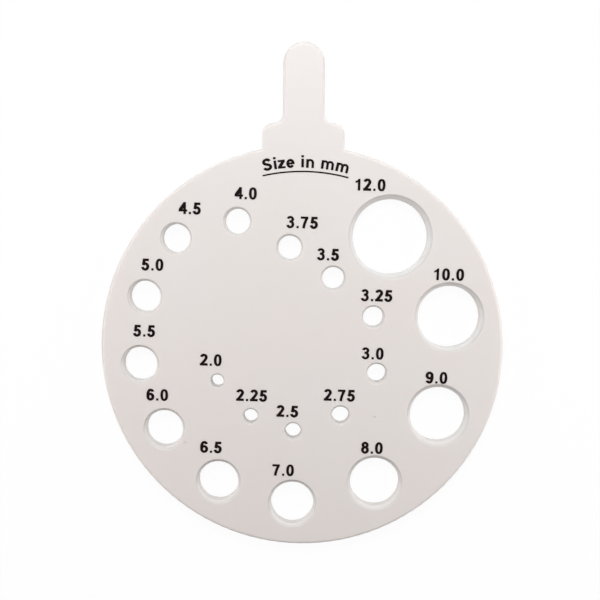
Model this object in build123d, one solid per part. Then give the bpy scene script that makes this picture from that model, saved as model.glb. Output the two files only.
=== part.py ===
from build123d import *
import math
import os

# Knitting needle gauge: a flat moulded plate with a calibrated through hole for every needle size,
# set out from large to small along a two-turn spiral, and a neck with a narrow tab to hold it by.
# Frame: origin at the disc's centre on the back face, +Y towards the tab, +Z out of the front face.
# Sizes are in millimetres and bearings in degrees, anticlockwise from +X.

# Plate
disc_diameter = 65.0
plate_thickness = 2.5

# Neck: a broad shoulder on the disc's rim, then the tab with its fully round end
shoulder_width = 13.1
shoulder_rise = 3.45
tab_width = 6.6
tab_length = 12.7
tab_root_radius = 1.5
neck_root_radius = 0.5

# Moulded edges of the outline
front_edge_round = 0.5
back_edge_chamfer = 0.3

# Each hole passes a needle of its own size with this much play on the diameter. Its mouths are bevelled
# at 45 degrees. The front bevel is wider, and it grows with the needle's size by this much per millimetre.
needle_play = 0.04
front_mouth_least = 0.08
front_mouth_growth = 0.055
back_mouth_bevel = 0.2

# Needle size, bearing of its hole, and the plastic left between the hole and the disc's rim
needle_holes = [
    (12.0, 52.1, 3.6),
    (10.0, 12.5, 3.2),
    (9.0, -25.7, 3.3),
    (8.0, -61.1, 3.35),
    (7.0, -92.9, 3.3),
    (6.5, -121.2, 3.35),
    (6.0, -148.7, 3.45),
    (5.5, -173.6, 3.4),
    (5.0, 162.3, 3.4),
    (4.5, 139.2, 3.45),
    (4.0, 117.2, 7.65),
    (3.75, 97.2, 14.3),
    (3.5, 66.3, 18.35),
    (3.25, 24.1, 18.25),
    (3.0, -18.1, 18.15),
    (2.75, -59.6, 18.45),
    (2.5, -95.2, 17.55),
    (2.25, -125.9, 17.45),
    (2.0, -157.9, 16.8),
]


def hole_centre(size, bearing, rim_wall):
    """Centre of a needle hole, placed inwards from the disc's rim along its bearing."""
    reach = disc_diameter / 2 - rim_wall - size / 2
    return reach * math.cos(math.radians(bearing)), reach * math.sin(math.radians(bearing))


def plate_outline():
    """Disc and neck in one outline, symmetric about the Y axis."""
    disc_radius = disc_diameter / 2
    half_shoulder = shoulder_width / 2
    half_tab = tab_width / 2
    shoulder_top = disc_radius + shoulder_rise
    tab_end = shoulder_top + tab_length
    shoulder_corner_radius = half_shoulder - half_tab - tab_root_radius
    neck_root = math.sqrt(disc_radius**2 - half_shoulder**2)
    with BuildSketch() as outline:
        Circle(disc_radius)
        with BuildLine():
            foot = Line((0, 0), (half_shoulder, 0))
            side = Line(foot @ 1, (half_shoulder, shoulder_top - shoulder_corner_radius))
            corner = TangentArc(side @ 1, (half_tab + tab_root_radius, shoulder_top), tangent=side % 1)
            root = TangentArc(corner @ 1, (half_tab, shoulder_top + tab_root_radius), tangent=corner % 1)
            tab_side = Line(root @ 1, (half_tab, tab_end - half_tab))
            TangentArc(tab_side @ 1, (0, tab_end), tangent=tab_side % 1)
            mirror(about=Plane.YZ)
        make_face()
        roots = [outline.vertices().sort_by_distance((x, neck_root))[0] for x in (-half_shoulder, half_shoulder)]
        fillet(roots, neck_root_radius)
    return outline.sketch


def needle_hole(size):
    """The space that one hole takes out of the plate, on the Z axis: wall, front mouth and back mouth."""
    radius = (size + needle_play) / 2
    front_mouth_bevel = front_mouth_least + front_mouth_growth * size
    profile = [
        (0, 0),
        (radius + back_mouth_bevel, 0),
        (radius, back_mouth_bevel),
        (radius, plate_thickness - front_mouth_bevel),
        (radius + front_mouth_bevel, plate_thickness),
        (0, plate_thickness),
    ]
    half_section = make_face(Plane.XZ * Polyline(*profile, close=True))
    return revolve(half_section, Axis.Z)


def gauge_plate():
    """The moulded plate with its edges eased, and a hole for every needle size."""
    plate = extrude(plate_outline(), plate_thickness)
    front_rim = plate.faces().sort_by(Axis.Z)[-1].outer_wire().edges()
    plate = fillet(front_rim, front_edge_round)
    back_rim = plate.faces().sort_by(Axis.Z)[0].outer_wire().edges()
    plate = chamfer(back_rim, back_edge_chamfer)
    for size, bearing, rim_wall in needle_holes:
        x, y = hole_centre(size, bearing, rim_wall)
        plate -= Pos(x, y, 0) * needle_hole(size)
    return plate


os.makedirs("parts", exist_ok=True)
export_step(gauge_plate(), "parts/gauge_plate.step")
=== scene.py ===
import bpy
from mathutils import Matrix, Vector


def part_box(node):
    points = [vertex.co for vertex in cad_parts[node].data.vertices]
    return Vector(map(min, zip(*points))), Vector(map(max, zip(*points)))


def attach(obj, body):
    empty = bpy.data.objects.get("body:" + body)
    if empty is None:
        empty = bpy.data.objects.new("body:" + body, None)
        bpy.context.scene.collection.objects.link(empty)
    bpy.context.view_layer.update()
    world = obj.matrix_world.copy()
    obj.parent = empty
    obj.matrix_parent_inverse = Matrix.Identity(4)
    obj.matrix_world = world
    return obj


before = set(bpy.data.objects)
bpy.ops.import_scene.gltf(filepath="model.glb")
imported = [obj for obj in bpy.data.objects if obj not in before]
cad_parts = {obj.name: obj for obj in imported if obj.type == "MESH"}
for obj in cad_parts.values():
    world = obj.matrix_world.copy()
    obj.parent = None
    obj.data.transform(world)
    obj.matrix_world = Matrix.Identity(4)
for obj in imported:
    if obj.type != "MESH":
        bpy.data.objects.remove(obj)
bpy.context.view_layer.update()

import math

import bmesh
import bpy
from mathutils import Matrix, Vector
from mathutils.geometry import delaunay_2d_cdt

MM = 0.001


# The gauge plate: one flat injection moulding in warm white plastic with a satin gloss, whose
# calibrated holes and eased edges come from the mould. It is new, with only the marks of packing.
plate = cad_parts["gauge_plate"]
plate_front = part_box("gauge_plate")[1][2]

# Tones of the plastic: two in slow patches, one where an edge is rubbed, three of painted shade round the
# holes, one of marks
patch_tones = ((0.764, 0.703, 0.676, 1), (0.766, 0.714, 0.694, 1))
edge_tone = (0.81, 0.78, 0.765, 1)
# Painted shade: the holes' mouths, lips and walls get darker tones that stand in for the shade inside the
# holes
mouth_shade_tone = (0.745, 0.72, 0.705, 1)
lip_shade_tone = (0.665, 0.625, 0.60, 1)
wall_shade_tone = (0.71, 0.665, 0.64, 1)
mark_tone = (0.58, 0.53, 0.50, 1)

# Where those tones lie: how far an edge is rubbed, the heights between which the painted shade of a mouth
# darkens to its lip, and the reach from the disc's centre inside which a slope belongs to a hole and not to
# the rim
edge_radius = 0.15 * MM
lip_shade_heights = (2.15 * MM, 2.4 * MM)
holes_reach = (31.2 * MM, 30.7 * MM)

# Specks: one cell of this spacing in about fifteen has one, between these two radii in parts of a cell
speck_spacing = 6.25 * MM
speck_chance = (0.93, 0.94)
speck_radii = (0.045, 0.02)

# Two faint scuffs on the front: place, half length and half width in millimetres, and strength
scuffs = [
    ((11.96, -11.10), (0.44, 0.19), 0.85),
    ((-18.85, -15.72), (0.40, 0.34), 0.5),
]


def new_material(name):
    """An empty node material, and its output."""
    material = bpy.data.materials.new(name)
    material.use_nodes = True
    material.node_tree.nodes.clear()
    return material, material.node_tree.nodes.new("ShaderNodeOutputMaterial")


def set_socket(tree, socket, value):
    """Join the socket to another node's output, or set it to a plain value."""
    if isinstance(value, bpy.types.NodeSocket):
        tree.links.new(value, socket)
    else:
        socket.default_value = value


def add_node(tree, kind, settings=None, **sockets):
    """A node with its settings, and with each named socket set to a value or joined to an output."""
    node = tree.nodes.new(kind)
    for name, value in (settings or {}).items():
        setattr(node, name, value)
    for name, value in sockets.items():
        set_socket(tree, node.inputs[name.replace("_", " ")], value)
    return node


def calculate(tree, operation, *values):
    """One step of arithmetic on masks."""
    node = add_node(tree, "ShaderNodeMath", {"operation": operation})
    for socket, value in zip(node.inputs, values):
        set_socket(tree, socket, value)
    return node.outputs["Value"]


def calculate_places(tree, operation, *values):
    """One step of arithmetic on places or directions, which gives a place, or else a number."""
    node = add_node(tree, "ShaderNodeVectorMath", {"operation": operation})
    for socket, value in zip(node.inputs, values):
        set_socket(tree, socket, value)
    return node.outputs["Value" if operation in ("DOT_PRODUCT", "LENGTH") else "Vector"]


def spread(tree, value, low, high, to_low=0.0, to_high=1.0):
    """The value, spread from one range to another and held inside it."""
    node = add_node(
        tree, "ShaderNodeMapRange", Value=value, From_Min=low, From_Max=high, To_Min=to_low, To_Max=to_high
    )
    return node.outputs["Result"]


def blend_colours(tree, mask, below, above):
    """A colour that goes from one to the other with the mask."""
    node = add_node(tree, "ShaderNodeMix", {"data_type": "RGBA"})
    factor, first_colour, second_colour = node.inputs[0], node.inputs[6], node.inputs[7]
    set_socket(tree, factor, mask)
    set_socket(tree, first_colour, below)
    set_socket(tree, second_colour, above)
    return node.outputs[2]


def moulded_surface_group():
    """Slow patches of tone and a fine grain, in the piece's own millimetres."""
    group = bpy.data.node_groups.new("moulded_surface", "ShaderNodeTree")
    for name in ("Patch Size", "Grain Size"):
        group.interface.new_socket(name, in_out="INPUT", socket_type="NodeSocketFloat")
    for name in ("Patches", "Grain"):
        group.interface.new_socket(name, in_out="OUTPUT", socket_type="NodeSocketFloat")
    inside = group.nodes.new("NodeGroupInput")
    outside = group.nodes.new("NodeGroupOutput")
    place = group.nodes.new("ShaderNodeTexCoord").outputs["Object"]
    for size, detail, out in (("Patch Size", 2.0, "Patches"), ("Grain Size", 3.0, "Grain")):
        scale = calculate(group, "DIVIDE", 1 / MM, inside.outputs[size])
        noise = add_node(group, "ShaderNodeTexNoise", Vector=place, Scale=scale, Detail=detail)
        group.links.new(noise.outputs["Fac"], outside.inputs[out])
    return group


moulded_surface = moulded_surface_group()


def surface_masks(tree, patch_size, grain_size):
    """The patches and the grain as two masks, at these sizes in millimetres."""
    settings = {"node_tree": moulded_surface}
    masks = add_node(tree, "ShaderNodeGroup", settings, Patch_Size=patch_size, Grain_Size=grain_size)
    return masks.outputs["Patches"], masks.outputs["Grain"]


def rubbed_edges(tree):
    """Normals that round the sharp edges over, and a mask that is full on those edges."""
    rounded = add_node(tree, "ShaderNodeBevel", {"samples": 6}, Radius=edge_radius).outputs["Normal"]
    flat = tree.nodes.new("ShaderNodeNewGeometry").outputs["Normal"]
    agreement = calculate_places(tree, "DOT_PRODUCT", rounded, flat)
    return rounded, spread(tree, agreement, 0.99, 0.86)


def tone_with_painted_hole_shade(tree, around, tone):
    """The tone, with painted shade laid over it on the holes' bevelled mouths, darker on their lips, and on
    their walls.
    """
    place = around.outputs["Object"]
    facing = add_node(tree, "ShaderNodeSeparateXYZ", Vector=around.outputs["Normal"])
    upright = calculate(tree, "ABSOLUTE", facing.outputs["Z"])
    sloping = spread(tree, upright, 0.9, 0.75)
    steep = spread(tree, upright, 0.6, 0.3)
    reach = calculate_places(tree, "LENGTH", calculate_places(tree, "MULTIPLY", place, (1, 1, 0)))
    hole_shade_mask = calculate(tree, "MULTIPLY", sloping, spread(tree, reach, *holes_reach))
    height = add_node(tree, "ShaderNodeSeparateXYZ", Vector=place).outputs["Z"]
    # Painted shade: the mouth darkens to its lip and the walls darken, standing in for shade in the holes
    mouth = blend_colours(tree, spread(tree, height, *lip_shade_heights), mouth_shade_tone, lip_shade_tone)
    return blend_colours(tree, hole_shade_mask, tone, blend_colours(tree, steep, mouth, wall_shade_tone))


def packing_marks(tree, place):
    """A mask of a few specks, and of the two scuffs."""
    cells = add_node(tree, "ShaderNodeTexVoronoi", Vector=place, Scale=1 / speck_spacing)
    draw = add_node(tree, "ShaderNodeSeparateColor", Color=cells.outputs["Color"]).outputs["Red"]
    chosen = spread(tree, draw, *speck_chance)
    marks = calculate(tree, "MULTIPLY", chosen, spread(tree, cells.outputs["Distance"], *speck_radii))
    for (x, y), (half_length, half_width), strength in scuffs:
        away = calculate_places(tree, "SUBTRACT", place, (x * MM, y * MM, plate_front))
        size = (half_length * MM, half_width * MM, half_width * MM)
        distance = calculate_places(tree, "LENGTH", calculate_places(tree, "DIVIDE", away, size))
        marks = calculate(tree, "MAXIMUM", marks, spread(tree, distance, 1.0, 0.3, 0.0, strength))
    return marks


def moulded_plastic():
    """Warm white plastic: faint tone patches, rubbed edges, painted shade in the holes, small marks and a
    fine skin.
    """
    material, output = new_material("moulded_white_plastic")
    tree = material.node_tree
    patches, grain = surface_masks(tree, 22.0, 0.9)
    slow = spread(tree, patches, 0.3, 0.7)
    rounded, edge = rubbed_edges(tree)
    around = tree.nodes.new("ShaderNodeTexCoord")
    rubbed = blend_colours(tree, edge, blend_colours(tree, slow, *patch_tones), edge_tone)
    # Painted shade of the holes laid over the plastic's tone
    hole_shaded = tone_with_painted_hole_shade(tree, around, rubbed)
    colour = blend_colours(tree, packing_marks(tree, around.outputs["Object"]), hole_shaded, mark_tone)

    satin = spread(tree, patches, 0.3, 0.7, 0.40, 0.47)
    edge_polish = -0.08
    roughness = calculate(tree, "MULTIPLY_ADD", edge, edge_polish, satin)
    skin = add_node(tree, "ShaderNodeBump", Strength=0.06, Distance=0.02 * MM, Height=grain, Normal=rounded)
    shader = add_node(
        tree,
        "ShaderNodeBsdfPrincipled",
        Base_Color=colour,
        Roughness=roughness,
        Normal=skin.outputs["Normal"],
        IOR=1.49,
        Subsurface_Weight=0.4,
        Subsurface_Radius=(1.0, 0.95, 0.92),
        Subsurface_Scale=0.9 * MM,
    )
    tree.links.new(shader.outputs["BSDF"], output.inputs["Surface"])
    return material


plastic = moulded_plastic()
plate.data.materials.clear()
plate.data.materials.append(plastic)
for slot in plate.material_slots:
    slot.material = plastic


# The printed numbers: pad printed in black ink over each hole, a film a few hundredths of a
# millimetre thick. The figures are a plain wide-set bold block lettering, 1.9 mm high.
ink_film = 0.02 * MM
ink_bite = 0.005 * MM
ink_tones = ((0.006, 0.001, 0.0018, 1), (0.014, 0.005, 0.0062, 1))
cap_height = 1.89 * MM
label_tilt = math.radians(-1.0)
figure_advance = 79.6
point_advance = 39.9
figure_pen = (11.6, 9.6)

# Where the first figure of each number starts, on its foot line, in millimetres
number_places = {
    "12.0": (8.09, 25.37),
    "10.0": (20.88, 11.22),
    "9.0": (20.08, -5.51),
    "8.0": (9.85, -17.18),
    "7.0": (-4.58, -21.05),
    "6.5": (-16.40, -17.39),
    "6.0": (-25.16, -8.86),
    "5.5": (-27.24, 1.60),
    "5.0": (-25.87, 12.32),
    "4.5": (-19.83, 21.40),
    "4.0": (-10.89, 23.85),
    "3.75": (-2.58, 19.32),
    "3.5": (2.35, 14.22),
    "3.25": (9.49, 7.72),
    "3.0": (9.74, -1.69),
    "2.75": (3.71, -8.56),
    "2.5": (-3.96, -11.30),
    "2.25": (-10.54, -8.76),
    "2.0": (-16.45, -3.04),
}


def block(*corners):
    """A straight-sided part of a character, in hundredths of its height."""
    area = sum(a[0] * b[1] - b[0] * a[1] for a, b in zip(corners, corners[1:] + corners[:1]))
    return [list(corners) if area > 0 else list(reversed(corners))]


def bar(left, foot, right, top):
    """An upright rectangle of a character."""
    return block((left, foot), (right, foot), (right, top), (left, top))


def bow(centre_x, centre_y, reach_x, reach_y, start, end, squareness=2.0):
    """Points along an oval, from one bearing to another in degrees."""
    steps = max(4, round(abs(end - start) / 12))
    points = []
    for step in range(steps + 1):
        turn = math.radians(start + (end - start) * step / steps)
        across, up = math.cos(turn), math.sin(turn)
        points.append((
            centre_x + reach_x * math.copysign(abs(across) ** (2 / squareness), across),
            centre_y + reach_y * math.copysign(abs(up) ** (2 / squareness), up),
        ))
    return points


def stroke(pen, points, closed=False):
    """The band that a pen wider in uprights than in level strokes leaves along the points."""
    if closed:
        points = points[:-1]
    count = len(points)
    left, right = [], []
    for i, (x, y) in enumerate(points):
        before = points[i - 1] if closed or i else points[0]
        after = points[(i + 1) % count] if closed or i < count - 1 else points[-1]
        along = Vector((after[0] - before[0], after[1] - before[1])).normalized()
        half = math.hypot(pen[0] * along.y, pen[1] * along.x)
        left.append((x - along.y * half, y + along.x * half))
        right.append((x + along.y * half, y - along.x * half))
    pieces = []
    for i in range(count if closed else count - 1):
        j = (i + 1) % count
        pieces += block(right[i], right[j], left[j], left[i])
    return pieces


def figure_six():
    pen = (12.5, 10.5)
    ring = stroke(pen, bow(34.5, 32.5, 21.8, 24, 0, 360), closed=True)
    back = bow(34.5, 50, 22.3, 42, 205, 100)
    hook = bow(34.5, 73, 20.5, 19, 88, 10)
    return ring + stroke(pen, back + hook)


def half_turn(pieces, width):
    """The same character upside down."""
    return [[(width - x, 100 - y) for x, y in piece] for piece in pieces]


figures = {
    "0": stroke(figure_pen, bow(34, 50, 21.5, 42.4, 0, 360, 2.35), closed=True),
    "1": block((33.5, 0), (54.5, 0), (54.5, 99), (40, 99), (31, 87), (12.5, 78), (12.5, 62.5), (33.5, 70)),
    "2": stroke((12.4, 10.8), bow(33.5, 71.8, 20.8, 20.4, 172, -32) + [(37, 39), (17, 15)])
    + bar(-0.5, 0, 66.5, 21),
    "3": stroke(figure_pen, bow(32, 74.5, 20, 18.2, 168, -82))
    + stroke(figure_pen, bow(31.5, 31, 22.8, 23.6, 84, -168))
    + bar(23, 45.5, 37, 64),
    "4": bar(39, 0, 59.5, 101)
    + bar(-1, 21, 71.5, 38.5)
    + block((-1, 30), (31, 30), (50, 74), (50, 101), (39.5, 101), (-1, 42.5)),
    "5": bar(12.5, 78.5, 62.5, 100)
    + block((11.5, 100), (4.5, 45), (29.5, 41.5), (33.5, 79), (33.5, 100))
    + stroke((12.6, 10.6), bow(31.5, 32.6, 22.8, 25.2, 146, -170)),
    "6": figure_six(),
    "7": bar(0, 80.5, 64, 99.5) + stroke((11.5, 9.5), [(53.5, 90), (43, 67), (34, 42), (28, 18), (26.5, 0)]),
    "8": stroke((12, 10.2), bow(34, 74.8, 18.8, 17.8, 0, 360), closed=True)
    + stroke((12, 10.2), bow(34, 31.3, 21.6, 23.3, 0, 360), closed=True),
    "9": half_turn(figure_six(), 69),
    ".": bar(5, 0, 24, 19.5),
}


def placed(pieces, along, place, turn):
    """A character's parts moved to their place on the plate, in metres."""
    size = cap_height / 100
    turned = Matrix.Rotation(turn, 2)
    start = Vector(place)
    return [[start + turned @ Vector(((along + x) * size, y * size)) for x, y in piece] for piece in pieces]


def printed(name, pieces):
    """One clean closed film of ink from parts that may overlap."""
    points = [point for piece in pieces for point in piece]
    loops, first = [], 0
    for piece in pieces:
        loops.append(list(range(first, first + len(piece))))
        first += len(piece)
    spots, _, faces, _, _, sources = delaunay_2d_cdt(points, [], loops, 0, 2e-7)
    faces = [face for face, source in zip(faces, sources) if source]
    sides = {(face[i - 1], face[i]) for face in faces for i in range(len(face))}
    mesh = bmesh.new()
    low = [mesh.verts.new((x, y, plate_front - ink_bite)) for x, y in spots]
    high = [mesh.verts.new((x, y, plate_front + ink_film)) for x, y in spots]
    for face in faces:
        mesh.faces.new([high[i] for i in face])
        mesh.faces.new([low[i] for i in reversed(face)])
    for start, end in sides:
        if (end, start) not in sides:
            mesh.faces.new((low[start], low[end], high[end], high[start]))
    loose = [vert for vert in mesh.verts if not vert.link_faces]
    bmesh.ops.delete(mesh, geom=loose, context="VERTS")
    data = bpy.data.meshes.new(name)
    mesh.to_mesh(data)
    mesh.free()
    film = bpy.data.objects.new(name, data)
    bpy.context.scene.collection.objects.link(film)
    film.data.materials.append(ink)
    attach(film, "root")


def pad_printing_ink():
    """Near-black ink with a low sheen, a little uneven where the pad laid it down."""
    material, output = new_material("pad_printing_ink")
    tree = material.node_tree
    patches, grain = surface_masks(tree, 1.6, 0.12)
    colour = blend_colours(tree, spread(tree, patches, 0.3, 0.75), *ink_tones)
    film = add_node(tree, "ShaderNodeBump", Strength=0.15, Distance=0.01 * MM, Height=grain)
    shader = add_node(
        tree,
        "ShaderNodeBsdfPrincipled",
        Base_Color=colour,
        Roughness=spread(tree, grain, 0.3, 0.7, 0.42, 0.56),
        Normal=film.outputs["Normal"],
        Specular_IOR_Level=0.05,
    )
    tree.links.new(shader.outputs["BSDF"], output.inputs["Surface"])
    return material


ink = pad_printing_ink()
number_parts = []
for number, (start_x, foot_y) in number_places.items():
    along = 0
    for character in number:
        number_parts += placed(figures[character], along, (start_x * MM, foot_y * MM), label_tilt)
        along += point_advance if character == "." else figure_advance
printed("size_numbers", number_parts)


# The legend that names the unit, in a lighter cut of the same lettering. It is bent round the
# disc's own centre, and a thin line on the same centre runs under it.
legend_radius = 28.94 * MM
rule_radius = 28.3 * MM
rule_width = 0.24 * MM
rule_bearings = (103.13, 75.23)
letter_pen = (10.5, 8.9)

letters = {
    "S": stroke((12.6, 11), bow(40.5, 71.8, 25.5, 19.2, 10, 250) + bow(40.5, 28.6, 27, 19.6, 70, -170)),
    "i": bar(0, 0, 22.5, 73) + bar(0, 83.5, 22.5, 102),
    "z": bar(1, 55, 62, 72.5)
    + bar(-1, 0, 64, 17)
    + block((-1, 17), (-1, 8), (26, 8), (62, 55), (62, 64), (36, 64)),
    "e": stroke((11.7, 10.3), bow(34, 36, 23, 28, 0, 325)) + bar(12, 28, 69, 44),
    "n": bar(0, -3, 22.5, 70) + stroke(letter_pen, bow(33.5, 40.5, 23, 22.4, 165, 0) + [(56.5, -3)]),
    "m": bar(0, -3, 22.5, 70)
    + stroke(letter_pen, bow(31.5, 41, 21.5, 21.4, 165, 0) + [(53, -3)])
    + stroke(letter_pen, bow(75, 41, 21.5, 21.4, 165, 0) + [(96.5, -3)]),
}

# Each letter and the bearing of its middle from the disc's centre, in degrees
legend = [
    ("S", 101.1),
    ("i", 98.6),
    ("z", 96.65),
    ("e", 93.9),
    ("i", 90.15),
    ("n", 87.85),
    ("m", 82.45),
    ("m", 77.85),
]

legend_parts = []
for letter, degrees in legend:
    middle = max(x for piece in letters[letter] for x, _ in piece) / 2
    bearing = math.radians(degrees)
    foot = Vector((math.cos(bearing), math.sin(bearing))) * legend_radius
    legend_parts += placed(letters[letter], -middle, foot, bearing - math.pi / 2)
printed("unit_legend", legend_parts)

rule_steps = 28
rule_line = []
for step in range(rule_steps + 1):
    bearing = math.radians(rule_bearings[0] + (rule_bearings[1] - rule_bearings[0]) * step / rule_steps)
    rule_line.append((rule_radius * math.cos(bearing), rule_radius * math.sin(bearing)))
printed("legend_rule", stroke((rule_width / 2, rule_width / 2), rule_line))


# The floor: a plain white sheet. It looks white to the camera and in reflections, and still takes
# the plate's soft shadow.
sheet_half = 1.5
sheet_gap = 0.02 * MM
sheet_glow = 0.95


def background_rays(tree):
    """The rays that find the background white: the camera's own, and those that gloss or glass sends on."""
    rays = tree.nodes.new("ShaderNodeLightPath")
    seen = rays.outputs["Is Camera Ray"]
    for kind in ("Is Glossy Ray", "Is Transmission Ray"):
        seen = calculate(tree, "MAXIMUM", seen, rays.outputs[kind])
    return seen


def white_sheet():
    """Matt white paper, whose own white makes most of what those rays find."""
    material, output = new_material("white_sheet")
    tree = material.node_tree
    paper = add_node(tree, "ShaderNodeBsdfDiffuse", Color=(0.92, 0.92, 0.92, 1))
    white = add_node(tree, "ShaderNodeEmission", Color=(1, 1, 1, 1), Strength=1.0)
    look = tree.nodes.new("ShaderNodeMixShader")
    set_socket(tree, look.inputs[0], calculate(tree, "MULTIPLY", background_rays(tree), sheet_glow))
    tree.links.new(paper.outputs[0], look.inputs[1])
    tree.links.new(white.outputs[0], look.inputs[2])
    tree.links.new(look.outputs[0], output.inputs["Surface"])
    return material


sheet_corners = [(x * sheet_half, y * sheet_half, 0) for x, y in ((-1, -1), (1, -1), (1, 1), (-1, 1))]
sheet_mesh = bpy.data.meshes.new("floor")
sheet_mesh.from_pydata(sheet_corners, [], [(0, 1, 2, 3)])
floor = bpy.data.objects.new("floor", sheet_mesh)
floor.location = (0, 0, -sheet_gap)
floor.data.materials.append(white_sheet())
bpy.context.scene.collection.objects.link(floor)


# The studio light: a soft lamp beyond the tab, a low one on either side, and a dim pale room that fills
# the shadows, all at a level that shows colours about as they are written.
cool_light = (0.92, 1.0, 1.03)
warm_light = (1.0, 0.955, 0.93)
room_light = (1.0, 0.96, 0.94, 1)
room_dimmest = 0.10
room_fullest = 0.46


def soft_lamp(name, place, width, height, watts, colour):
    """A rectangular soft lamp, turned to the middle of the disc."""
    lamp = bpy.data.lights.new(name, "AREA")
    lamp.shape = "RECTANGLE"
    lamp.size = width
    lamp.size_y = height
    lamp.energy = watts
    lamp.color = colour
    stand = bpy.data.objects.new(name, lamp)
    stand.location = place
    stand.rotation_euler = (-Vector(place)).to_track_quat("-Z", "Y").to_euler()
    bpy.context.scene.collection.objects.link(stand)


def pale_room():
    """The room's own light, fuller from beyond the tab. The camera and reflections find it plain white."""
    world = bpy.data.worlds.new("pale_room")
    world.use_nodes = True
    tree = world.node_tree
    tree.nodes.clear()
    output = tree.nodes.new("ShaderNodeOutputWorld")
    ray = tree.nodes.new("ShaderNodeTexCoord").outputs["Generated"]
    toward_tab = add_node(tree, "ShaderNodeSeparateXYZ", Vector=ray).outputs["Y"]
    glow = spread(tree, toward_tab, -0.8, 0.8, room_dimmest, room_fullest)
    dim = add_node(tree, "ShaderNodeBackground", Color=room_light, Strength=glow)
    white = add_node(tree, "ShaderNodeBackground", Color=(1, 1, 1, 1), Strength=1.0)
    look = tree.nodes.new("ShaderNodeMixShader")
    tree.links.new(background_rays(tree), look.inputs[0])
    tree.links.new(dim.outputs[0], look.inputs[1])
    tree.links.new(white.outputs[0], look.inputs[2])
    tree.links.new(look.outputs[0], output.inputs["Surface"])
    return world


soft_lamp("top_lamp", (0.0, 0.13, 0.18), 0.09, 0.08, 0.288, cool_light)
soft_lamp("right_lamp", (0.16, 0.0, 0.075), 0.085, 0.085, 0.110, warm_light)
soft_lamp("left_lamp", (-0.16, 0.0, 0.075), 0.085, 0.085, 0.104, warm_light)
bpy.context.scene.world = pale_room()
bpy.context.scene.view_settings.view_transform = "Standard"


# The camera: nearly straight above the plate, a little towards the tab.
eye = bpy.data.cameras.new("camera")
eye.sensor_width = 36.0
eye.lens = 55.2
eye.clip_start = 0.005
camera = bpy.data.objects.new("camera", eye)
camera.location = (2.07 * MM, 19.72 * MM, 150.02 * MM)
camera.rotation_euler = (math.radians(-4.619), math.radians(0.963), math.radians(0.526))
bpy.context.scene.collection.objects.link(camera)
bpy.context.scene.camera = camera
